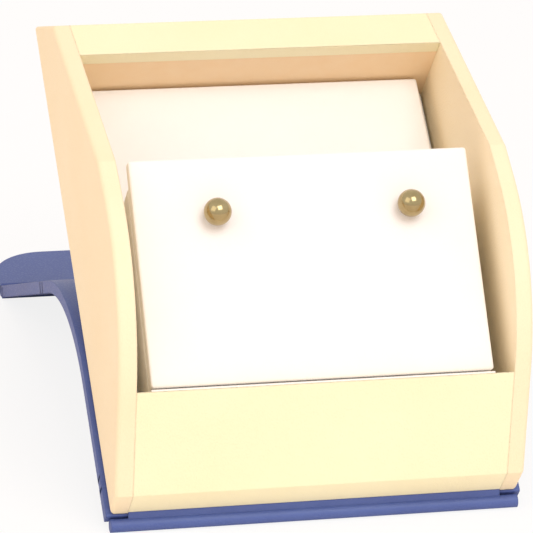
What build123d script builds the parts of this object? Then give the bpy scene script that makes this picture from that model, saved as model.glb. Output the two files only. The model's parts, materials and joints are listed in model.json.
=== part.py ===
# Earring gift box, open and standing as a display.
#
# A domed tray, covered in cream leatherette, leans back on its own wrap-over cover.
# The cover is a chain of four stiff panels joined by soft folds: spine, front panel,
# back panel and end flap. Closed, it wraps over the dome and the end flap's magnets hold
# it at the rear. Open, it folds right under the tray, and the end flap is the foot.
#
# Two frames are used. The box's own frame has +X to the right, +Y away from the viewer
# and +Z up, with the table at Z = 0. The tray's side view is drawn in v and w: v runs
# back along the base from its front bottom edge, and w stands square on the base.

import os
from math import atan2, cos, degrees, hypot, radians, sin, tan

from build123d import *

# Tray, side view
base_length = 83.3
heel_height = 5.0
slope_angle = 53.0
slope_length = 16.0
crown_radius = 28.0
crown_turn = 60.0
crown_flat = 6.0
rear_height = 12.8
rear_overhang = 8.6

# Tray, boards
tray_width = 60.0
side_thickness = 2.6
rail_thickness = 2.2
inner_wall_thickness = 1.8
base_board_thickness = 1.6
base_paper_thickness = 0.4
rear_lip_length = 8.4
tray_edge_radius = 0.7
corner_chamfer = 0.3

# Cover
cover_thickness = 1.9
cover_lip = 0.55
cover_gap = 0.3
cover_open_angle = 0.4
wrap_thickness = 0.35
lining_thickness = 0.35
turn_in = 3.0
turn_in_share = 0.25
fold_setback = 0.7
fold_radius = 0.5
fold_web = 0.3
hinge_clearance = 0.15
hinge_web = 0.2
flap_length = 14.2
flap_corner_radius = 9.0
cover_edge_radius = 0.3

# Magnets
magnet_radius = 3.0
magnet_spacing = 34.0
magnet_clearance = 0.05

# Insert
insert_clearance = 0.4
card_thickness = 1.0
pad_side_gap = 1.9
pad_foam_thickness = 4.1
pad_cover_thickness = 0.4
pad_edge_radius = 0.35
riser_wall = 6.0
riser_back_gap = 1.3
riser_depth = 30.0
riser_gap = 0.15
tape_thickness = 0.3

# Earring flap
flap_side_gap = 2.4
flap_depth = 34.0
flap_angle = 14.3
flap_card_thickness = 1.2
flap_cover_thickness = 0.4
flap_start_height = 16.2
flap_roll_radius = 0.35
flap_roll_gap = 0.15
flap_edge_radius = 0.6

# Earrings
ball_radius = 2.0
stud_edge_distance = 10.8
stud_offset = 1.0
stud_reach = 25.2
post_radius = 0.42
post_length = 10.5
post_clearance = 0.08
post_notch_depth = 0.12
post_notch_width = 0.6
post_notch_reach = 1.6
post_tip_length = 0.5
post_tip_radius = 0.2
seat_gap = 0.05
seat_flat = 0.12
back_length = 5.0
back_width = 3.8
back_plate = 0.5
curl_radius = 1.0
curl_thickness = 0.34
curl_turn = 285.0
curl_gap = 0.13
curl_sink_share = 0.6

# One overrun for every cut that runs out of a piece
overrun = 1.0

right = Vector(1, 0, 0)


def step(start, length, angle):
    """The point at a length from start, in a direction in degrees, in the side view."""
    return (start[0] + length * cos(radians(angle)), start[1] + length * sin(radians(angle)))


# Side view of the dome, from the front bottom edge round to the rear bottom edge
heel_top = (0, heel_height)
slope_top = step(heel_top, slope_length, slope_angle)
crown_centre = step(slope_top, crown_radius, slope_angle - 90)
crown_end_angle = slope_angle - crown_turn
crown_end = step(crown_centre, crown_radius, crown_end_angle + 90)
shoulder = step(crown_end, crown_flat, crown_end_angle)
rear_bottom = (base_length, 0)
rear_top = (base_length - rear_overhang, rear_height)
decline_run = rear_top[0] - shoulder[0]
decline_drop = shoulder[1] - rear_top[1]
decline_length = hypot(decline_run, decline_drop)
decline_angle = -degrees(atan2(decline_drop, decline_run))
decline_turn = crown_end_angle - decline_angle
rear_angle = degrees(atan2(rear_bottom[1] - rear_top[1], rear_bottom[0] - rear_top[0]))

# Fold lines of the closed cover. Its middle surface lies a constant offset outside the
# dome, so each stretch of it grows at both ends by the offset times the half turn's
# tangent.
cover_offset = cover_gap + cover_thickness / 2
heel_turn = 90 - slope_angle
rear_turn = decline_angle - rear_angle
heel_growth = cover_offset * tan(radians(heel_turn / 2))
shoulder_growth = cover_offset * tan(radians(decline_turn / 2))
rear_growth = cover_offset * tan(radians(rear_turn / 2))
hinge_axis = (-cover_offset, -cover_offset)
spine_reach = heel_height + heel_growth + cover_offset
front_straight = slope_length + heel_growth
bend_radius = crown_radius + cover_offset
front_tail = crown_flat + shoulder_growth
back_reach = decline_length + shoulder_growth + rear_growth

# The open cover in the tray's side view: nearly flat under the base, then bent down
spine_angle = -cover_open_angle
spine_fold_axis = step(hinge_axis, spine_reach, spine_angle)
bend_start = step(spine_fold_axis, front_straight, spine_angle)
bend_centre = step(bend_start, bend_radius, spine_angle - 90)
back_angle = spine_angle - crown_turn
bend_end = step(bend_centre, bend_radius, back_angle + 90)
crown_fold_axis = step(bend_end, front_tail, back_angle)
flap_fold_axis = step(crown_fold_axis, back_reach, back_angle)

# The tray leans back until the front fold and the end flap both lie on the table
lean = degrees(atan2(hinge_axis[1] - flap_fold_axis[1], flap_fold_axis[0] - hinge_axis[0]))
end_flap_angle = -lean


def on_table(point):
    """Y and Z, before centring, of a point of the side view."""
    back = point[0] * cos(radians(lean)) - point[1] * sin(radians(lean))
    up = point[0] * sin(radians(lean)) + point[1] * cos(radians(lean))
    return back, up


hinge_back, hinge_up = on_table(hinge_axis)
lift = cover_thickness / 2 - hinge_up
front_most = on_table(crown_centre)[0] - crown_radius
rear_most = on_table(flap_fold_axis)[0] + flap_length
centre_back = (front_most + rear_most) / 2


def side_plane(point=(0, 0), angle=0.0, x=0.0):
    """Plane of the side view at x, its origin on a point of the view, turned by angle."""
    back, up = on_table(point)
    direction = radians(lean + angle)
    return Plane(
        origin=(x, back - centre_back, up + lift),
        x_dir=(0, cos(direction), sin(direction)),
        z_dir=right,
    )


def level_plane(point=(0, 0), angle=0.0, x=0.0):
    """Plane square to the side view, lying along angle there, with its normal upward."""
    side = side_plane(point, angle, x)
    return Plane(origin=side.origin, x_dir=right, z_dir=side.y_dir)


def prism(plane, points, width):
    """A straight bar of the given outline, centred on the plane."""
    with BuildPart() as bar:
        with BuildSketch(plane):
            with BuildLine():
                Polyline(*points, close=True)
            make_face()
        extrude(amount=width / 2, both=True)
    return bar.part


def finish(part, name):
    """Label a finished piece and write it."""
    part.label = name
    export_step(part, os.path.join("parts", name + ".step"))


os.makedirs("parts", exist_ok=True)

inner_width = tray_width - 2 * side_thickness
floor_height = base_paper_thickness + base_board_thickness
tray_side = side_plane()

# Inner faces of the front and rear rails, worked out from the outer ones
slope_drop = rail_thickness / cos(radians(slope_angle))
lip_drop = rail_thickness / cos(radians(decline_angle))
rear_run = rail_thickness / sin(radians(-rear_angle))
window_front = slope_top[0]
lip_start = step(rear_top, rear_lip_length, decline_angle + 180)
window_rear = lip_start[0]
slope_inner_heel = (
    rail_thickness,
    heel_height + rail_thickness * tan(radians(slope_angle)) - slope_drop,
)


def rear_inner(height):
    """The rear rail's inner face at a height above the base."""
    return (base_length - rear_run + height / tan(radians(rear_angle)), height)


lip_inner_rise = tan(radians(decline_angle))
lip_under = (window_rear, lip_start[1] - lip_drop)
rear_fall = tan(radians(rear_angle))
corner_run = (lip_under[1] - rear_fall * (lip_under[0] - base_length + rear_run)) / (
    rear_fall - lip_inner_rise
)
rail_inner_corner = (lip_under[0] + corner_run, lip_under[1] + lip_inner_rise * corner_run)


# Side panels
def side_panel(hand):
    """A D-shaped side board; hand is -1 for the left one and 1 for the right one."""
    inner_x = hand * inner_width / 2
    with BuildPart() as panel:
        with BuildSketch(side_plane(x=inner_x)):
            with BuildLine():
                Polyline((0, 0), heel_top, slope_top)
                CenterArc(crown_centre, crown_radius, slope_angle + 90, -crown_turn)
                Polyline(crown_end, shoulder, rear_top, rear_bottom, (0, 0))
            make_face()
        extrude(amount=hand * side_thickness)
        outer_face = panel.faces().filter_by(Axis.X).sort_by(Axis.X)[-1 if hand > 0 else 0]
        fillet(outer_face.edges(), radius=tray_edge_radius)
    return panel.part


finish(side_panel(-1), "left_side_panel")
finish(side_panel(1), "right_side_panel")

# Front rail: heel and slope, one bent board
with BuildPart() as front_rail:
    with BuildSketch(tray_side):
        with BuildLine():
            Polyline(
                (corner_chamfer, 0),
                (0, corner_chamfer),
                heel_top,
                slope_top,
                (window_front, slope_top[1] - slope_drop),
                slope_inner_heel,
                (rail_thickness, 0),
                close=True,
            )
        make_face()
    extrude(amount=inner_width / 2, both=True)
finish(front_rail.part, "front_rail")

# Front inner wall, under the slope's top edge
wall_front_top = slope_top[1] - slope_drop
finish(
    prism(
        tray_side,
        [
            (window_front, floor_height),
            (window_front, wall_front_top),
            (
                window_front - inner_wall_thickness,
                wall_front_top - inner_wall_thickness * tan(radians(slope_angle)),
            ),
            (window_front - inner_wall_thickness, floor_height),
        ],
        inner_width,
    ),
    "front_inner_wall",
)

# Rear rail: lip and sloping end, one bent board
rear_rail = prism(
    tray_side,
    [lip_start, rear_top, rear_bottom, rear_inner(0), rail_inner_corner, lip_under],
    inner_width,
)
finish(rear_rail, "rear_rail")

# Rear inner wall, under the lip and cut to the sloping end's inner face
with BuildPart() as rear_inner_wall:
    add(
        prism(
            tray_side,
            [
                (window_rear, floor_height),
                lip_under,
                (window_rear + inner_wall_thickness, lip_under[1]),
                (window_rear + inner_wall_thickness, floor_height),
            ],
            inner_width,
        )
    )
    add(rear_rail, mode=Mode.SUBTRACT)
finish(rear_inner_wall.part, "rear_inner_wall")

# Base board and the paper under it, between the heel and the rear rail
finish(
    prism(
        tray_side,
        [
            (rail_thickness, base_paper_thickness),
            (rail_thickness, floor_height),
            rear_inner(floor_height),
            rear_inner(base_paper_thickness),
        ],
        inner_width,
    ),
    "base_board",
)
finish(
    prism(
        tray_side,
        [
            (rail_thickness, 0),
            (rail_thickness, base_paper_thickness),
            rear_inner(base_paper_thickness),
            rear_inner(0),
        ],
        inner_width,
    ),
    "base_paper",
)

# Tray magnets, glued behind the rear rail's sloping end. Their reach down the face is
# that of the end flap's magnets when the cover is closed.
magnet_thickness = cover_thickness - wrap_thickness - lining_thickness
magnet_reach = flap_length / 2 + fold_setback / 2
magnet_drop = magnet_reach - rear_growth
magnet_point = step(step(rear_top, magnet_drop, rear_angle), rail_thickness, rear_angle - 90)
with BuildPart() as tray_magnets:
    with BuildSketch(level_plane(magnet_point, rear_angle)):
        with GridLocations(magnet_spacing, magnet_spacing, 2, 1):
            Circle(magnet_radius)
    extrude(amount=-magnet_thickness)
finish(tray_magnets.part, "tray_magnets")

# Cover. Each panel is drawn in its own side plane: x runs along the panel from the fold
# before it, and y points to the outer face.
cover_width = tray_width + 2 * cover_lip
half = cover_thickness / 2
board_top = half - wrap_thickness
board_bottom = -half + lining_thickness


def flat_layer(plane, start, end, bottom, top, width):
    """One straight layer of a panel."""
    return prism(plane, [(start, bottom), (end, bottom), (end, top), (start, top)], width)


def bent_layer(plane, start, end, bottom, top, width):
    """One layer of the front panel: straight, bent over the crown, and straight again."""
    centre = (front_straight, -bend_radius)
    with BuildPart() as layer:
        with BuildSketch(plane):
            with BuildLine():
                low = bend_radius + bottom
                high = bend_radius + top
                low_end = step(centre, low, 90 - crown_turn)
                high_end = step(centre, high, 90 - crown_turn)
                Line((start, bottom), (front_straight, bottom))
                CenterArc(centre, low, 90, -crown_turn)
                Line(low_end, step(low_end, end, -crown_turn))
                Line(step(low_end, end, -crown_turn), step(high_end, end, -crown_turn))
                Line(step(high_end, end, -crown_turn), high_end)
                CenterArc(centre, high, 90, -crown_turn)
                Line((front_straight, top), (start, top))
                Line((start, top), (start, bottom))
            make_face()
        extrude(amount=width / 2, both=True)
    return layer.part


def cover_panel(name, layer, plane, start, end):
    """Board, lining and wrap of one panel; the wrap closes round the other two."""
    board = layer(
        plane,
        start + wrap_thickness,
        end - wrap_thickness,
        board_bottom,
        board_top,
        cover_width - 2 * wrap_thickness,
    )
    margin = turn_in if layer is bent_layer else min(turn_in, (end - start) * turn_in_share)
    lining = layer(
        plane, start + margin, end - margin, -half, board_bottom, cover_width - 2 * turn_in
    )
    with BuildPart() as wrap:
        add(layer(plane, start, end, -half, half, cover_width))
        long_edges = wrap.edges().filter_by(Axis.X)
        fillet(long_edges, radius=cover_edge_radius)
        add(board, mode=Mode.SUBTRACT)
        add(lining, mode=Mode.SUBTRACT)
    finish(board, name + "_board")
    finish(lining, name + "_lining")
    finish(wrap.part, name + "_wrap")


def fold_bar(name, axis, angle, setback):
    """Soft fold: a roll on the fold line, with a web to the panel after it."""
    with BuildPart() as bar:
        with BuildSketch(side_plane(axis, angle)):
            Circle(fold_radius)
            with Locations((setback / 2, 0)):
                Rectangle(setback, fold_web)
        extrude(amount=(cover_width - 2 * wrap_thickness) / 2, both=True)
    finish(bar.part, name)


# Front fold: a roll at the tray's front bottom edge, with a web to the front rail
roll_radius = cover_thickness / 2
web_reach = hypot(hinge_axis[0] - corner_chamfer / 2, hinge_axis[1] - corner_chamfer / 2)
with BuildPart() as front_fold:
    with BuildSketch(side_plane(hinge_axis, 45)):
        Circle(roll_radius)
    extrude(amount=tray_width / 2, both=True)
    with BuildSketch(side_plane(hinge_axis, 45)):
        with Locations((web_reach / 2, 0)):
            Rectangle(web_reach, hinge_web)
    extrude(amount=inner_width / 2, both=True)
finish(front_fold.part, "front_fold")

cover_panel(
    "spine",
    flat_layer,
    side_plane(hinge_axis, spine_angle),
    roll_radius + hinge_clearance,
    spine_reach - fold_setback,
)
fold_bar("spine_fold", spine_fold_axis, spine_angle, fold_setback)
cover_panel(
    "front_cover",
    bent_layer,
    side_plane(spine_fold_axis, spine_angle),
    fold_setback,
    front_tail - fold_setback,
)
fold_bar("crown_fold", crown_fold_axis, back_angle, fold_setback)
cover_panel(
    "back_cover",
    flat_layer,
    side_plane(crown_fold_axis, back_angle),
    fold_setback,
    back_reach - fold_setback,
)
fold_bar("flap_fold", flap_fold_axis, end_flap_angle, fold_setback)

# End flap, the foot: its free corners are rounded, and its board holds two magnets
flap_level = level_plane(flap_fold_axis, end_flap_angle)


def flap_layer(bottom, top, inset, start):
    """One layer of the end flap, seen from above, inset from its outline."""
    depth = flap_length - inset - start
    with BuildPart() as layer:
        with BuildSketch(flap_level.offset(bottom)) as outline:
            with Locations((0, start + depth / 2)):
                Rectangle(cover_width - 2 * inset, depth)
            fillet(outline.vertices().group_by(Axis.Y)[-1], radius=flap_corner_radius - inset)
        extrude(amount=top - bottom)
    return layer.part


def magnet_discs(radius):
    """The two discs in the end flap's board."""
    with BuildPart() as discs:
        with BuildSketch(flap_level.offset(board_bottom)):
            with Locations((0, magnet_reach)):
                with GridLocations(magnet_spacing, magnet_spacing, 2, 1):
                    Circle(radius)
        extrude(amount=magnet_thickness)
    return discs.part


flap_board_start = fold_setback + wrap_thickness
flap_blank = flap_layer(board_bottom, board_top, wrap_thickness, flap_board_start)
flap_lining = flap_layer(-half, board_bottom, turn_in, fold_setback + turn_in / 2)
with BuildPart() as end_flap_board:
    add(flap_blank)
    add(magnet_discs(magnet_radius + magnet_clearance), mode=Mode.SUBTRACT)
with BuildPart() as end_flap_wrap:
    add(flap_layer(-half, half, 0, fold_setback))
    outline_edges = end_flap_wrap.edges().filter_by(Axis.Z, reverse=True)
    chamfer(outline_edges, length=cover_edge_radius)
    add(flap_blank, mode=Mode.SUBTRACT)
    add(flap_lining, mode=Mode.SUBTRACT)
finish(end_flap_board.part, "end_flap_board")
finish(flap_lining, "end_flap_lining")
finish(end_flap_wrap.part, "end_flap_wrap")
finish(magnet_discs(magnet_radius), "flap_magnets")

# Insert: a card that fills the tray's floor, and a soft pad on it
insert_front = window_front + insert_clearance
insert_rear = window_rear - insert_clearance
insert_depth = insert_rear - insert_front
card_top = floor_height + card_thickness
foam_top = card_top + pad_foam_thickness
pad_top = foam_top + pad_cover_thickness
pad_width = inner_width - 2 * pad_side_gap


def insert_slab(front, depth, bottom, top, width):
    """A slab square to the tray's base."""
    with BuildPart() as slab:
        with BuildSketch(level_plane((front + depth / 2, bottom))):
            Rectangle(width, depth)
        extrude(amount=top - bottom)
    return slab.part


finish(
    insert_slab(
        insert_front, insert_depth, floor_height, card_top, inner_width - 2 * insert_clearance
    ),
    "insert_card",
)
pad_foam = insert_slab(
    insert_front + pad_cover_thickness,
    insert_depth - 2 * pad_cover_thickness,
    card_top,
    foam_top,
    pad_width - 2 * pad_cover_thickness,
)
finish(pad_foam, "pad_foam")
with BuildPart() as pad_cover:
    add(insert_slab(insert_front, insert_depth, card_top, pad_top, pad_width))
    pad_up = level_plane().z_dir
    top_face = pad_cover.faces().sort_by(Axis((0, 0, 0), pad_up))[-1]
    fillet(top_face.edges(), radius=pad_edge_radius)
    add(pad_foam, mode=Mode.SUBTRACT)
finish(pad_cover.part, "pad_cover")

# Earring flap. Its hinge roll lies level with its top face, close to the front rail.
flap_thickness = flap_card_thickness + 2 * flap_cover_thickness
flap_width = inner_width - 2 * flap_side_gap
stud_spacing = flap_width - 2 * stud_edge_distance
flap_hinge = (insert_front + flap_roll_radius, flap_start_height)
flap_start = flap_roll_radius + flap_roll_gap
flap_under = flap_roll_radius - flap_thickness


def flap_slab(bottom, top, inset):
    """A slab of the earring flap, inset from its outline."""
    depth = flap_depth - flap_start - 2 * inset
    with BuildPart() as slab:
        with BuildSketch(level_plane(flap_hinge, flap_angle).offset(bottom)):
            with Locations((0, flap_start + inset + depth / 2)):
                Rectangle(flap_width - 2 * inset, depth)
        extrude(amount=top - bottom)
    return slab.part


def post_holes():
    """The two holes that the earrings' posts pass through."""
    with BuildPart() as holes:
        with BuildSketch(level_plane(flap_hinge, flap_angle).offset(flap_under - overrun)):
            with Locations((stud_offset, stud_reach)):
                with GridLocations(stud_spacing, stud_spacing, 2, 1):
                    Circle(post_radius + post_clearance)
        extrude(amount=flap_thickness + 2 * overrun)
    return holes.part


card_under = flap_under + flap_cover_thickness
card_over = card_under + flap_card_thickness
with BuildPart() as flap_card:
    add(flap_slab(card_under, card_over, flap_cover_thickness))
    add(post_holes(), mode=Mode.SUBTRACT)
finish(flap_card.part, "earring_flap_card")
with BuildPart() as flap_cover:
    add(flap_slab(flap_under, flap_roll_radius, 0))
    flap_up = level_plane(angle=flap_angle).z_dir
    flap_faces = flap_cover.faces().sort_by(Axis((0, 0, 0), flap_up))
    fillet(flap_faces[0].edges() + flap_faces[-1].edges(), radius=flap_edge_radius)
    add(flap_slab(card_under, card_over, flap_cover_thickness), mode=Mode.SUBTRACT)
    add(post_holes(), mode=Mode.SUBTRACT)
finish(flap_cover.part, "earring_flap_cover")

# Flap riser: a foam wedge under the flap, with a well for the backs, open to the rear
riser_front = flap_hinge[0] - flap_roll_radius + tape_thickness
riser_rear = riser_front + riser_depth
riser_side = stud_edge_distance - abs(stud_offset) - back_length / 2 - riser_back_gap
riser_rise = tan(radians(flap_angle))
riser_base = flap_hinge[1] + (flap_under - riser_gap) / cos(radians(flap_angle))


def riser_top(back):
    """Height of the riser's sloping top at a distance back along the base."""
    return (back, riser_base + riser_rise * (back - flap_hinge[0]))


with BuildPart() as flap_riser:
    add(
        prism(
            tray_side,
            [(riser_front, pad_top), riser_top(riser_front), riser_top(riser_rear), (riser_rear, pad_top)],
            flap_width,
        )
    )
    well_front = riser_front + riser_wall
    add(
        prism(
            tray_side,
            [
                (well_front, pad_top - overrun),
                (well_front, riser_top(riser_rear)[1] + overrun),
                (riser_rear + overrun, riser_top(riser_rear)[1] + overrun),
                (riser_rear + overrun, pad_top - overrun),
            ],
            flap_width - 2 * riser_side,
        ),
        mode=Mode.SUBTRACT,
    )
finish(flap_riser.part, "flap_riser")

# Flap hinge tape: down the riser's front face, ending in the hinge roll
with BuildPart() as flap_hinge_tape:
    add(
        prism(
            tray_side,
            [
                (riser_front - tape_thickness, pad_top),
                (riser_front - tape_thickness, flap_hinge[1]),
                (riser_front, flap_hinge[1]),
                (riser_front, pad_top),
            ],
            flap_width,
        )
    )
    with BuildSketch(side_plane(flap_hinge)):
        Circle(flap_roll_radius)
    extrude(amount=flap_width / 2, both=True)
finish(flap_hinge_tape.part, "flap_hinge_tape")


# Earrings: ball, post and butterfly back
def stud_plane(hand):
    """Level plane on the flap's top face at one stud."""
    foot = step(
        step(flap_hinge, stud_reach, flap_angle), flap_roll_radius, flap_angle + 90
    )
    return level_plane(foot, flap_angle, stud_offset + hand * stud_spacing / 2)


def ball(seat):
    """A ball with a small flat where the post is soldered on."""
    with BuildPart(seat) as bead:
        with Locations((0, 0, ball_radius - seat_flat)):
            Sphere(ball_radius)
        split(bisect_by=seat, keep=Keep.TOP)
    return bead.part


def post(seat):
    """A straight post with a notch near its blunt, tapered tip."""
    neck = post_length - post_notch_reach
    profile = Plane(origin=seat.origin, x_dir=right, z_dir=seat.y_dir * -1)
    with BuildPart() as pin:
        with BuildSketch(profile):
            with BuildLine():
                Polyline(
                    (0, 0),
                    (post_radius, 0),
                    (post_radius, -neck),
                    (post_radius - post_notch_depth, -neck - post_notch_width / 2),
                    (post_radius, -neck - post_notch_width),
                    (post_radius, -post_length + post_tip_length),
                    (post_tip_radius, -post_length),
                    (0, -post_length),
                    close=True,
                )
            make_face()
        revolve(axis=Axis(seat.origin, seat.z_dir))
    return pin.part


def butterfly_back(seat):
    """A holed plate with two curls that grip the post."""
    hole_radius = post_radius + post_clearance
    curl_centre = (
        hole_radius + curl_gap + curl_radius,
        -back_plate - curl_radius + curl_thickness * curl_sink_share,
    )
    across = Plane(origin=seat.origin, x_dir=right, z_dir=seat.y_dir * -1)
    with BuildPart() as clip:
        with BuildSketch(seat.offset(-back_plate)):
            SlotOverall(back_length, back_width)
            Circle(hole_radius, mode=Mode.SUBTRACT)
        extrude(amount=back_plate)
        with BuildSketch(across):
            with BuildLine():
                inner_radius = curl_radius - curl_thickness
                outer = CenterArc(curl_centre, curl_radius, 90, -curl_turn)
                inner = CenterArc(curl_centre, inner_radius, 90, -curl_turn)
                Line(outer @ 0, inner @ 0)
                Line(outer @ 1, inner @ 1)
            make_face()
        curl = extrude(amount=back_width / 2 - curl_thickness, both=True)
        mirror(curl, about=Plane(origin=seat.origin, z_dir=right))
    return clip.part


for side, hand in (("left", -1), ("right", 1)):
    stud_seat = stud_plane(hand).offset(seat_gap)
    back_seat = stud_plane(hand).offset(-flap_thickness - seat_gap)
    finish(ball(stud_seat), side + "_ball")
    finish(post(stud_seat), side + "_post")
    finish(butterfly_back(back_seat), side + "_back")
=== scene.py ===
# %% [markdown]
# # Earring gift box, open as a display
#
# This lesson dresses a small jewellery box: a domed cream tray that leans back on its own
# blue cover, a white velvet insert, and a pair of gold ball studs on a raised flap. The
# structural pieces come in as a fixed frame, in metres, with +Z up. Each step then adds
# one soft piece or one finish.

import json
import math

import bpy
from mathutils import Matrix, Vector


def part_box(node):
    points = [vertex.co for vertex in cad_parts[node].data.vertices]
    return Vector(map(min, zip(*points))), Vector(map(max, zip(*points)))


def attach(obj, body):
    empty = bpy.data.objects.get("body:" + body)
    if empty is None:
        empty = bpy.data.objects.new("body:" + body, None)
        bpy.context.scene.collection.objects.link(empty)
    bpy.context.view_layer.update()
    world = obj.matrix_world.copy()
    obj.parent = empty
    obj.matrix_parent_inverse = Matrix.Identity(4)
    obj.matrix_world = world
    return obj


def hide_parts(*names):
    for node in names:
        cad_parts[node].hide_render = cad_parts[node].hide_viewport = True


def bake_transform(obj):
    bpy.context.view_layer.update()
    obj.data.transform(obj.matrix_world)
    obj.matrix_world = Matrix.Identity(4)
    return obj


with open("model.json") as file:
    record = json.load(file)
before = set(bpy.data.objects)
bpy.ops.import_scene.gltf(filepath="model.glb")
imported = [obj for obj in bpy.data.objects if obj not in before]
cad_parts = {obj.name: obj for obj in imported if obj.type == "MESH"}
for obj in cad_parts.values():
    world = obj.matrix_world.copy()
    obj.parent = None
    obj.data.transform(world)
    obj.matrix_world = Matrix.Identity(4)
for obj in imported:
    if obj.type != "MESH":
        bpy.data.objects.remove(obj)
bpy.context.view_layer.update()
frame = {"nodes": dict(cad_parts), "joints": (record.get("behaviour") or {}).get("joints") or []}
nodes = frame["nodes"]
joints = {joint["name"]: joint for joint in frame["joints"]}
scene = bpy.context.scene
MM = 0.001
print("nodes:", len(nodes), "joints:", len(joints))

# %% [markdown]
# ## Directions of the leaning tray
#
# Nothing in this box stands square to the table, so it pays to work along the box's own
# directions. The insert lifts straight out of the tray, so its joint gives the tray's
# upward direction. The earrings pull straight out of their flap, so theirs gives the
# flap's. A length along any direction is a dot product.

# %% Tray and flap directions
ACROSS = Vector((1, 0, 0))


def axes_from_up(up):
    """Right, back and up directions, as the columns of a rotation."""
    up = Vector(up).normalized()
    back = up.cross(ACROSS)
    return Matrix((ACROSS, back, up)).transposed()


tray_axes = axes_from_up(joints["insert_lift"]["axis"])
flap_axes = axes_from_up(joints["left_earring_pull"]["axis"])
hinge_points = {
    name: Vector(joints[name]["pos_m"])
    for name in ("spine_hinge", "front_fold_hinge", "crown_fold_hinge", "flap_fold_hinge")
}


def extent(node_names, axes):
    """Lowest and highest corner of some nodes, measured along the given directions."""
    turn = axes.transposed()
    points = [turn @ v.co for name in node_names for v in nodes[name].data.vertices]
    low = Vector(min(p[i] for p in points) for i in range(3))
    high = Vector(max(p[i] for p in points) for i in range(3))
    return low, high


lean = math.degrees(math.acos(tray_axes.col[2].z))
print("the tray leans back by", round(lean, 1), "degrees")

# %% [markdown]
# ## Colours and nodes
#
# Colours are sRGB hex values. There was only one overexposed photograph to go by, so they
# were tuned until the render came near it. The shader wants linear light, so one function
# converts them. A second small function adds any node, sets it up and links it, which keeps
# each material readable as a list of its layers.


# %% Colour and node helpers
def linear(hex_colour):
    """An sRGB hex colour as linear RGBA."""
    channels = [int(hex_colour[i : i + 2], 16) / 255 for i in (1, 3, 5)]
    return [c / 12.92 if c <= 0.04045 else ((c + 0.055) / 1.055) ** 2.4 for c in channels] + [1]


def add_node(tree, kind, inputs=None, **settings):
    """Add a node; each input takes a value or another node's output socket."""
    made = tree.nodes.new(kind)
    for name, value in settings.items():
        setattr(made, name, value)
    for name, value in (inputs or {}).items():
        if isinstance(value, bpy.types.NodeSocket):
            tree.links.new(value, made.inputs[name])
        else:
            made.inputs[name].default_value = value
    return made


def new_material(name, **shader_values):
    """An empty material with its shader, ready for layers."""
    material = bpy.data.materials.new(name)
    material.use_nodes = True
    shader = material.node_tree.nodes["Principled BSDF"]
    for socket, value in shader_values.items():
        shader.inputs[socket.replace("_", " ")].default_value = value
    return material, material.node_tree, shader


def two_tone(tree, position, low, high, patch_mm, detail=3.0):
    """Two near colours in soft patches of a real size."""
    patches = add_node(
        tree, "ShaderNodeTexNoise", {"Vector": position, "Scale": 1000 / patch_mm, "Detail": detail}
    )
    blend = add_node(tree, "ShaderNodeMix", {"Factor": patches.outputs["Fac"]}, data_type="RGBA")
    blend.inputs["A"].default_value = linear(low)
    blend.inputs["B"].default_value = linear(high)
    return blend.outputs["Result"]


# %% [markdown]
# ## Leatherette
#
# The tray and the cover are wrapped in PU leatherette: a plastic skin on fabric, pressed with a pebble
# grain by a heated roller. The grain is a net of fine valleys, so a Voronoi pattern's distance to its
# cell edges draws it well. The skin has a satin gloss that is broken where the grain is deep. The
# photograph doesn't show the grain, and cells of 0.5 mm are a guess. The skin is stretched over board
# edges that it rounds by about a third of a millimetre, which the Bevel node gives to the shading alone.
# The side panels have a slightly warmer, peachier cream than the rails. This is painted shade: a shaded
# copy of the same cream, standing in for the warm shade on their faces.


# %% Leatherette finish
def leatherette(name, low, high, roughness, grain_mm=0.5, relief_mm=0.018, edge_mm=0.35, coat=0.0):
    material, tree, shader = new_material(name, IOR=1.46, Coat_Weight=coat, Coat_Roughness=0.35)
    position = add_node(tree, "ShaderNodeTexCoord").outputs["Object"]
    cells = add_node(
        tree,
        "ShaderNodeTexVoronoi",
        {"Vector": position, "Scale": 1000 / grain_mm},
        feature="DISTANCE_TO_EDGE",
    )
    pebbles = add_node(
        tree,
        "ShaderNodeMapRange",
        {"Value": cells.outputs["Distance"], "From Max": 0.35},
        interpolation_type="SMOOTHSTEP",
    )
    creases = add_node(
        tree, "ShaderNodeTexNoise", {"Vector": position, "Scale": 1000 / 6.0, "Detail": 5.0}
    )
    height = add_node(
        tree,
        "ShaderNodeMath",
        {0: creases.outputs["Fac"], 1: 1.6, 2: pebbles.outputs["Result"]},
        operation="MULTIPLY_ADD",
    )
    edges = add_node(tree, "ShaderNodeBevel", {"Radius": edge_mm * MM}, samples=6)
    relief = add_node(
        tree,
        "ShaderNodeBump",
        {
            "Height": height.outputs["Value"],
            "Distance": relief_mm * MM,
            "Strength": 1.0,
            "Normal": edges.outputs["Normal"],
        },
    )
    gloss = add_node(
        tree,
        "ShaderNodeMapRange",
        {
            "Value": pebbles.outputs["Result"],
            "To Min": min(1.0, roughness + 0.15),
            "To Max": roughness,
        },
    )
    tree.links.new(two_tone(tree, position, low, high, 14.0), shader.inputs["Base Color"])
    tree.links.new(gloss.outputs["Result"], shader.inputs["Roughness"])
    tree.links.new(relief.outputs["Normal"], shader.inputs["Normal"])
    return material


cream = leatherette("cream_pu_leatherette", "#FDF4CC", "#FFFAD8", 0.5)
# The side panels' peachier cream is painted shade: a shaded copy of the rails' cream.
painted_shade_cream = leatherette("cream_pu_leatherette_painted_shade", "#FDEBC6", "#FFF3D4", 0.5)
blue = leatherette("blue_pu_leatherette", "#46599A", "#546AAE", 0.42, coat=0.15)

# %% [markdown]
# ## Papers and boards
#
# Under the skin the box is greyboard, a dense board of recycled fibres. The tray's inner
# walls and base are lined with coated paper. Both are matt and nearly flat: a little fibre
# noise in the colour and a very low bump keep them from looking like plastic.


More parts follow.
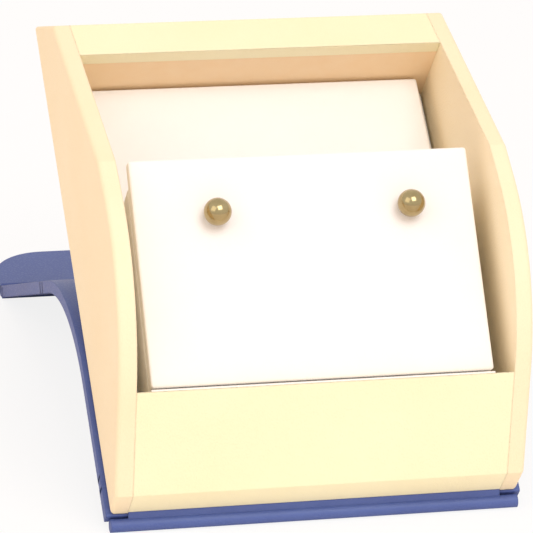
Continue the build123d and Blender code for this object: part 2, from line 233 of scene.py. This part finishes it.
# %% Paper and board finishes
def paper(name, low, high, fibre_mm, roughness=0.85, relief_mm=0.01):
    material, tree, shader = new_material(name, Roughness=roughness, IOR=1.45)
    position = add_node(tree, "ShaderNodeTexCoord").outputs["Object"]
    fibres = add_node(
        tree, "ShaderNodeTexNoise", {"Vector": position, "Scale": 1000 / fibre_mm, "Detail": 6.0}
    )
    relief = add_node(
        tree,
        "ShaderNodeBump",
        {"Height": fibres.outputs["Fac"], "Distance": relief_mm * MM},
    )
    tree.links.new(two_tone(tree, position, low, high, fibre_mm * 3), shader.inputs["Base Color"])
    tree.links.new(relief.outputs["Normal"], shader.inputs["Normal"])
    return material


# The inner-wall lining is peach rather than cream: painted shade, for the warm shade inside the tray's
# walls.
painted_shade_lining_paper = paper("peach_lining_paper_painted_shade", "#FCDDB2", "#FFE6C2", 0.8)
base_paper = paper("cream_base_paper", "#F2E4C6", "#F6EBD2", 0.8)
cover_paper = paper("blue_lining_paper", "#33436F", "#3C4D7C", 0.8)
greyboard = paper("greyboard", "#9C978C", "#B0ABA0", 0.5, relief_mm=0.03)
white_card = paper("white_card", "#F4F3F0", "#FAFAF8", 0.6)

# %% [markdown]
# ## Velvet paper and foam
#
# The insert is covered with flocked paper: short nylon fibres stood on end in glue. It has
# no gloss, and its fibre tips catch light from the side, which is what Sheen is for. The
# block under the flap is polyethylene foam, white, with small closed cells.

# %% Velvet and foam finishes
velvet, tree, shader = new_material(
    "white_flocked_paper", Roughness=0.95, IOR=1.4, Sheen_Weight=0.25, Sheen_Roughness=0.6
)
position = add_node(tree, "ShaderNodeTexCoord").outputs["Object"]
tips = add_node(tree, "ShaderNodeTexNoise", {"Vector": position, "Scale": 1000 / 0.25, "Detail": 4.0})
pile = add_node(
    tree, "ShaderNodeBump", {"Height": tips.outputs["Fac"], "Distance": 0.04 * MM, "Strength": 0.6}
)
tree.links.new(two_tone(tree, position, "#FAFAF9", "#FFFFFF", 9.0), shader.inputs["Base Color"])
tree.links.new(pile.outputs["Normal"], shader.inputs["Normal"])

foam, tree, shader = new_material("white_polyethylene_foam", Roughness=0.8, IOR=1.45)
position = add_node(tree, "ShaderNodeTexCoord").outputs["Object"]
cells = add_node(tree, "ShaderNodeTexVoronoi", {"Vector": position, "Scale": 1000 / 0.7})
skin = add_node(
    tree, "ShaderNodeBump", {"Height": cells.outputs["Distance"], "Distance": 0.06 * MM, "Strength": 0.7}
)
tree.links.new(two_tone(tree, position, "#F1F0EC", "#F9F8F5", 5.0), shader.inputs["Base Color"])
tree.links.new(skin.outputs["Normal"], shader.inputs["Normal"])

# %% [markdown]
# ## Metals
#
# The studs are taken for gold-plated brass, tumbled bright. A metal's colour is the colour
# of its reflection. The photographed balls look nearly grey, so this gold is a muted one,
# and the roughness is low.
# Tumbling leaves a faint unevenness, drawn as a very low bump. The magnets are
# nickel-plated steel discs.


# %% Metal finishes
def bright_metal(name, low, high, roughness):
    material, tree, shader = new_material(name, Metallic=1.0, Roughness=roughness)
    position = add_node(tree, "ShaderNodeTexCoord").outputs["Object"]
    dents = add_node(tree, "ShaderNodeTexNoise", {"Vector": position, "Scale": 1000 / 1.2, "Detail": 2.0})
    polish = add_node(
        tree, "ShaderNodeBump", {"Height": dents.outputs["Fac"], "Distance": 0.01 * MM, "Strength": 0.5}
    )
    tree.links.new(two_tone(tree, position, low, high, 1.5), shader.inputs["Base Color"])
    tree.links.new(polish.outputs["Normal"], shader.inputs["Normal"])
    return material


gold = bright_metal("gold_plated_brass", "#96835C", "#BCA97E", 0.18)
nickel = bright_metal("nickel_plated_steel", "#B9B8B4", "#C8C7C3", 0.22)

# %% Finishes on the frame's own pieces
finishes = {
    cream: ["front_rail", "rear_rail"],
    # painted shade: the side panels take the peachier, shaded copy of the cream
    painted_shade_cream: ["left_side_panel", "right_side_panel"],
    # painted shade: the inner walls take the peach lining paper
    painted_shade_lining_paper: ["front_inner_wall", "rear_inner_wall"],
    base_paper: ["base_paper"],
    greyboard: ["base_board", "spine_board", "front_cover_board", "back_cover_board", "end_flap_board"],
    blue: [
        "front_fold",
        "spine_wrap",
        "spine_fold",
        "front_cover_wrap",
        "crown_fold",
        "back_cover_wrap",
        "flap_fold",
        "end_flap_wrap",
    ],
    cover_paper: ["spine_lining", "front_cover_lining", "back_cover_lining", "end_flap_lining"],
    nickel: ["tray_magnets", "flap_magnets"],
    white_card: ["insert_card", "earring_flap_card"],
    foam: ["pad_foam", "flap_riser"],
    velvet: ["pad_cover", "earring_flap_cover", "flap_hinge_tape"],
    gold: ["left_ball", "left_post", "left_back", "right_ball", "right_post", "right_back"],
}
for finish, names in finishes.items():
    for name in names:
        nodes[name].data.materials.clear()
        nodes[name].data.materials.append(finish)
print("finished nodes:", sum(len(names) for names in finishes.values()), "of", len(nodes))

# %% [markdown]
# ## Soft pads
#
# The insert's floor is a thin foam sheet under flocked paper, and its edges are rolled
# over. A cube is stretched to the pad's size, its faces are divided, and then its points
# are moved: the top sinks a little towards the rim and the sides draw in below it. A
# bevel first rounds the rim. The pad is made level and turned onto the leaning tray as
# the last step, so the sizes stay easy to read.


# %% Pad builder
def start_fresh():
    """Leave edit mode and select nothing."""
    if bpy.context.object and bpy.context.object.mode != "OBJECT":
        bpy.ops.object.mode_set(mode="OBJECT")
    bpy.ops.object.select_all(action="DESELECT")


def block(name, low, high):
    """A box between two corners, as the start of a piece."""
    start_fresh()
    low, high = Vector(low), Vector(high)
    bpy.ops.mesh.primitive_cube_add(size=1, location=(low + high) / 2)
    made = bpy.context.object
    made.name = name
    made.data.name = name
    made.scale = high - low
    bpy.ops.object.transform_apply(location=True, rotation=True, scale=True)
    return made


def apply_modifier(piece, kind, **settings):
    """Add a modifier with its settings and apply it."""
    bpy.context.view_layer.objects.active = piece
    modifier = piece.modifiers.new(kind.title(), kind)
    for name, value in settings.items():
        setattr(modifier, name, value)
    bpy.ops.object.modifier_apply(modifier=modifier.name)


def divide(piece, longest):
    """Cut the piece square across until no stretch is longer than this."""
    start_fresh()
    piece.select_set(True)
    bpy.context.view_layer.objects.active = piece
    bpy.ops.object.mode_set(mode="EDIT")
    for axis in range(3):
        values = [v.co[axis] for v in piece.data.vertices]
        low, high = min(values), max(values)
        count = max(1, math.ceil((high - low) / longest))
        normal = Vector((axis == 0, axis == 1, axis == 2))
        for index in range(1, count):
            bpy.ops.mesh.select_all(action="SELECT")
            cut = normal * (low + (high - low) * index / count)
            bpy.ops.mesh.bisect(plane_co=cut, plane_no=normal)
    bpy.ops.object.mode_set(mode="OBJECT")


def finish_piece(piece, material, axes=None, angle=40):
    """Turn the piece onto its directions, shade it smooth and give it its material."""
    start_fresh()
    if axes is not None:
        piece.data.transform(axes.to_4x4())
    piece.data.materials.clear()
    piece.data.materials.append(material)
    piece.select_set(True)
    bpy.context.view_layer.objects.active = piece
    bpy.ops.object.shade_smooth_by_angle(angle=math.radians(angle))
    print(piece.name, "points:", len(piece.data.vertices))
    return piece


def soft_pad(name, low, high, rim, sink, draw, dimples=()):
    """A padded board: rounded rim, top sinking to the rim, sides drawn in."""
    pad = block(name, low, high)
    apply_modifier(pad, "BEVEL", width=rim, segments=5, profile=0.6)
    divide(pad, 1.6 * MM)
    middle = (low + high) / 2
    half = (high - low) / 2
    for vertex in pad.data.vertices:
        x, y, z = ((vertex.co[i] - middle[i]) / half[i] for i in range(3))
        edge = max(abs(x) ** 8, abs(y) ** 8)
        height = (z + 1) / 2
        vertex.co.z -= sink * edge * height
        vertex.co.x -= draw * x * (1 - z * z)
        vertex.co.y -= draw * y * (1 - z * z)
        for centre, radius, depth in dimples:
            reach = (Vector((vertex.co.x, vertex.co.y)) - centre).length / radius
            vertex.co.z -= depth * math.exp(-reach * reach) * height
    return pad


# %% Back pad
pad_low, pad_high = extent(["pad_cover"], tray_axes)
back_pad = soft_pad("back_pad", pad_low, pad_high, 0.45 * MM, 0.12 * MM, 0.12 * MM)
finish_piece(back_pad, velvet, tray_axes)
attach(back_pad, "insert")
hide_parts("pad_cover", "pad_foam")

# %% [markdown]
# ## Earring flap
#
# The raised flap is a card wrapped in the same flocked paper, so it is made the same way,
# with a rounder rim. Each earring's post has pushed the pile down where it goes through,
# and two shallow dimples show that.

# %% Earring flap pad
flap_low, flap_high = extent(["earring_flap_cover"], flap_axes)
post_points = []
for name in ("left_post", "right_post"):
    post_low, post_high = extent([name], flap_axes)
    post_points.append((post_low + post_high) / 2)
dimples = [(Vector((p.x, p.y)), 1.3 * MM, 0.18 * MM) for p in post_points]
flap_pad = soft_pad("earring_flap_pad", flap_low, flap_high, 0.6 * MM, 0.08 * MM, 0.1 * MM, dimples)
finish_piece(flap_pad, velvet, flap_axes)
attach(flap_pad, "earring_flap")
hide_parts("earring_flap_cover", "earring_flap_card")

# %% [markdown]
# ## Foam block under the flap
#
# The block is cut from a foam plank with a hot wire: a wedge with a well for the backs of
# the earrings. A box minus a smaller box gives the well, one cut gives the slope, and a
# small bevel gives the soft edges that a hot wire leaves.

# %% Foam block
riser_low, riser_high = extent(["flap_riser"], tray_axes)
well_wall = 6.0 * MM
riser = block("foam_riser", riser_low, riser_high)
well = block(
    "well_cutter",
    (riser_low.x + well_wall, riser_low.y + well_wall, riser_low.z - MM),
    (riser_high.x - well_wall, riser_high.y + MM, riser_high.z + MM),
)
apply_modifier(riser, "BOOLEAN", object=well, operation="DIFFERENCE", solver="EXACT")
bpy.data.objects.remove(well)
slope = tray_axes.transposed() @ flap_axes.col[2]
riser_points = [tray_axes.transposed() @ v.co for v in nodes["flap_riser"].data.vertices]
top_point = max(riser_points, key=lambda p: p.dot(slope))
start_fresh()
riser.select_set(True)
bpy.context.view_layer.objects.active = riser
bpy.ops.object.mode_set(mode="EDIT")
bpy.ops.mesh.select_all(action="SELECT")
bpy.ops.mesh.bisect(plane_co=top_point, plane_no=slope, use_fill=True, clear_outer=True)
bpy.ops.mesh.select_all(action="SELECT")
bpy.ops.mesh.normals_make_consistent(inside=False)
bpy.ops.object.mode_set(mode="OBJECT")
apply_modifier(riser, "BEVEL", width=0.35 * MM, segments=3, limit_method="ANGLE")
finish_piece(riser, foam, tray_axes)
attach(riser, "insert")
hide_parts("flap_riser")

# %% [markdown]
# ## Folds of the cover
#
# Between two stiff panels the leatherette runs on with no board in it, glued to the lining paper behind.
# It sinks into a shallow groove there and bends when the cover closes. Each fold is a bar whose points
# are drawn in towards its middle, laid across its fold line.

# %% Fold skins
panel_half = 0.93 * MM
groove_half = 0.8 * MM
fold_reach = 1.15 * MM


def fold_skin(name, node, point, direction):
    """A grooved strip of leatherette across one fold line, as wide as the panels."""
    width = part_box("spine_wrap")[1].x
    skin = block(name, (-width, -fold_reach, -panel_half), (width, fold_reach, panel_half))
    divide(skin, 0.16 * MM if width < MM else 2.0 * MM)
    start_fresh()
    skin.select_set(True)
    bpy.context.view_layer.objects.active = skin
    bpy.ops.object.mode_set(mode="EDIT")
    for share in (-0.8, -0.65, -0.5, -0.35, -0.2, -0.1, 0.1, 0.2, 0.35, 0.5, 0.65, 0.8):
        bpy.ops.mesh.select_all(action="SELECT")
        bpy.ops.mesh.bisect(plane_co=(0, share * fold_reach, 0), plane_no=(0, 1, 0))
    bpy.ops.object.mode_set(mode="OBJECT")
    for vertex in skin.data.vertices:
        t = min(1.0, abs(vertex.co.y) / (0.8 * fold_reach))
        rise = t * t * (3 - 2 * t)
        vertex.co.z *= (groove_half + (panel_half - groove_half) * rise) / panel_half
    back = Vector(direction).normalized()
    axes = Matrix((ACROSS, back, ACROSS.cross(back))).transposed()
    skin.data.transform(Matrix.Translation(point) @ axes.to_4x4())
    finish_piece(skin, blue)
    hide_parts(node)
    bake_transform(skin)
    return skin


spine_start = hinge_points["spine_hinge"]
spine_end = hinge_points["front_fold_hinge"]
crown_point = hinge_points["crown_fold_hinge"]
flap_point = hinge_points["flap_fold_hinge"]
spine_run = (spine_end - spine_start).normalized()
back_run = (flap_point - crown_point).normalized()
flap_run = (back_run + Vector((0, 1, 0))).normalized()
fold_skin("spine_fold_skin", "spine_fold", spine_end, spine_run)
fold_skin("crown_fold_skin", "crown_fold", crown_point, back_run)
fold_skin("flap_fold_skin", "flap_fold", flap_point, flap_run)

# %% [markdown]
# ## Ball studs
#
# Each ball is hollow gold-plated brass, soldered to its post through a small collar. A
# sphere is cut flat where the collar sits, and the collar is extruded from that cut. The
# second ball is a copy with its own mesh.

# %% Ball studs
ball_low, ball_high = extent(["left_ball"], flap_axes)
ball_centre = (ball_low + ball_high) / 2
ball_radius = (ball_high.x - ball_low.x) / 2
collar_height = 0.1 * MM
start_fresh()
ball_place = (ball_centre.x, ball_centre.y, ball_high.z - ball_radius)
bpy.ops.mesh.primitive_uv_sphere_add(
    segments=64, ring_count=32, radius=ball_radius, location=ball_place
)
left_stud = bpy.context.object
left_stud.name = "left_stud_ball"
bpy.ops.object.transform_apply(location=True, rotation=True, scale=True)
bpy.ops.object.mode_set(mode="EDIT")
bpy.ops.mesh.select_all(action="SELECT")
bpy.ops.mesh.bisect(
    plane_co=(0, 0, ball_low.z + collar_height), plane_no=(0, 0, 1), use_fill=True, clear_inner=True
)
bpy.ops.mesh.extrude_region_move(TRANSFORM_OT_translate={"value": (0, 0, -collar_height)})
bpy.ops.mesh.select_all(action="SELECT")
bpy.ops.mesh.normals_make_consistent(inside=False)
bpy.ops.object.mode_set(mode="OBJECT")
start_fresh()
left_stud.select_set(True)
bpy.context.view_layer.objects.active = left_stud
bpy.ops.object.duplicate()
right_stud = bpy.context.object
right_stud.name = "right_stud_ball"
right_low, right_high = extent(["right_ball"], flap_axes)
right_stud.data.transform(Matrix.Translation((right_low + right_high) / 2 - ball_centre))
for stud, side in ((left_stud, "left"), (right_stud, "right")):
    finish_piece(stud, gold, flap_axes, angle=60)
    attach(stud, side + "_earring")
    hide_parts(side + "_ball")

# %% [markdown]
# ## Floor and light
#
# The box stands on a plain pale table that runs on without an edge. Its material shows
# white to the camera and still takes the box's shadow. A large soft lamp hangs in front
# of the box and above it, as a softbox would, a weaker one reaches into the tray from the
# left, and the world fills in from everywhere with a slightly warm light.

# %% Floor
floor_side = 16
floor_glow_share = 0.85
start_fresh()
bpy.ops.mesh.primitive_plane_add(size=floor_side, location=(0, 0, 0))
floor = bpy.context.object
floor.name = "table_top"
table, tree, shader = new_material("white_table", Roughness=0.9)
shader.inputs["Base Color"].default_value = linear("#FAFAF9")
glow = add_node(tree, "ShaderNodeEmission", {"Color": (1, 1, 1, 1), "Strength": 1.0})
rays = add_node(tree, "ShaderNodeLightPath")
share = add_node(
    tree, "ShaderNodeMath", {0: rays.outputs["Is Camera Ray"], 1: floor_glow_share}, operation="MULTIPLY"
)
mixed = add_node(
    tree,
    "ShaderNodeMixShader",
    {0: share.outputs["Value"], 1: shader.outputs["BSDF"], 2: glow.outputs["Emission"]},
)
tree.links.new(mixed.outputs["Shader"], tree.nodes["Material Output"].inputs["Surface"])
floor.data.materials.append(table)

# %% World and lamps
world = bpy.data.worlds.new("studio")
scene.world = world
world.use_nodes = True
tree = world.node_tree
fill = tree.nodes["Background"]
fill.inputs["Color"].default_value = linear("#FFE8D8")
fill.inputs["Strength"].default_value = 0.8
white = add_node(tree, "ShaderNodeBackground", {"Color": (1, 1, 1, 1), "Strength": 1.0})
rays = add_node(tree, "ShaderNodeLightPath")
seen = add_node(
    tree,
    "ShaderNodeMath",
    {0: rays.outputs["Is Camera Ray"], 1: rays.outputs["Is Glossy Ray"]},
    operation="MAXIMUM",
)
seen = add_node(
    tree,
    "ShaderNodeMath",
    {0: seen.outputs["Value"], 1: rays.outputs["Is Transmission Ray"]},
    operation="MAXIMUM",
)
mixed = add_node(
    tree,
    "ShaderNodeMixShader",
    {0: seen.outputs["Value"], 1: fill.outputs["Background"], 2: white.outputs["Background"]},
)
tree.links.new(mixed.outputs["Shader"], tree.nodes["World Output"].inputs["Surface"])


def softbox(name, location, aim, size, power, colour):
    """A large soft lamp that points at a place."""
    start_fresh()
    bpy.ops.object.light_add(type="AREA", location=location)
    lamp = bpy.context.object
    lamp.name = name
    lamp.data.size = size
    lamp.data.energy = power
    lamp.data.color = linear(colour)[:3]
    lamp.rotation_euler = (Vector(aim) - Vector(location)).to_track_quat("-Z", "Y").to_euler()
    lamp.visible_camera = False
    return lamp


softbox("key_softbox", (0.15, -0.62, 0.85), (0, 0, 0.03), 0.6, 4.2, "#F8FCFF")
softbox("left_softbox", (-0.6, -0.4, 0.6), (0, 0, 0.03), 0.6, 1.2, "#FFF8F0")

# %% [markdown]
# ## Camera
#
# The photograph was taken from the front, a little to the left and from above. Its distance
# isn't known and is assumed to be 0.6 m. The camera's place was found by matching the box's
# corners to their places in the photograph, which is 533 pixels square. The lens follows
# from the pixels that one millimetre covers at that distance.

# %% Camera
camera_place = Vector((-135.80, -546.84, 247.11)) * MM
camera_aim = Vector((1.64, -7.84, 22.20)) * MM
camera_roll = 2.68
pixels_per_mm = 6.6388
distance = (camera_place - camera_aim).length
image_side = 533
start_fresh()
bpy.ops.object.camera_add(location=camera_place)
camera = bpy.context.object
camera.name = "camera"
look = (camera_aim - camera_place).to_track_quat("-Z", "Y").to_matrix()
camera.rotation_euler = (look @ Matrix.Rotation(math.radians(camera_roll), 3, "Z")).to_euler()
camera.data.sensor_width = 36
camera.data.lens = pixels_per_mm / MM * distance / image_side * 36
camera.data.clip_start = 0.01
camera.data.clip_end = 100
scene.camera = camera
scene.view_settings.view_transform = "Standard"
print("lens", round(camera.data.lens, 1), "mm at", round(distance, 3), "m")
